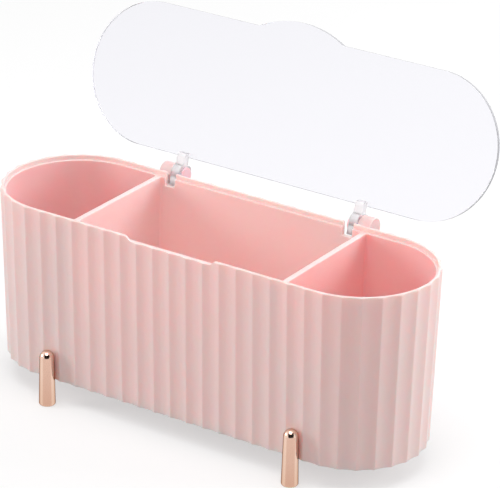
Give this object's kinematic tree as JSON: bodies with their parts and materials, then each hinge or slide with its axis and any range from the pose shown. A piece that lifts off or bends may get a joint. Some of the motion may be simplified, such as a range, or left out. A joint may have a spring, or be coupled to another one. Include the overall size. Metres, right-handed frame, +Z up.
{
  "type": "cotton pad holder",
  "caption": "Obround fluted countertop box with divided compartments for cotton pads, swabs and puffs, on plated legs, with a clear hinged lid.",
  "frame": {"origin": "on the floor at the middle of the four feet, under the middle of the tub", "axes": "+X along the tub to the right as seen from the front, +Y from the front to the hinge side, +Z up"},
  "size_m": [0.2214, 0.1108, 0.1678],
  "materials": {
    "pink_plastic": "satin moulded pink",
    "clear_acrylic": "clear polished",
    "rose_gold_plate": "mirror-bright rose gold electroplate over plastic"
  },
  "bodies": {
    "tub": {"tub": "pink_plastic", "hinge_pin_left": "pink_plastic", "hinge_pin_right": "pink_plastic", "leg_front_left": "rose_gold_plate", "leg_front_right": "rose_gold_plate", "leg_back_left": "rose_gold_plate", "leg_back_right": "rose_gold_plate"},
    "lid": {"lid_plate": "clear_acrylic", "hinge_arm_left": "clear_acrylic", "hinge_arm_right": "clear_acrylic"}
  },
  "joints": [
    {"name": "lid_hinge", "type": "hinge", "parent": "tub", "child": "lid", "pos_m": [0, 0.04205, 0.0907], "axis": [1, 0, 0], "range_deg": [0, 107.7]}
  ]
}
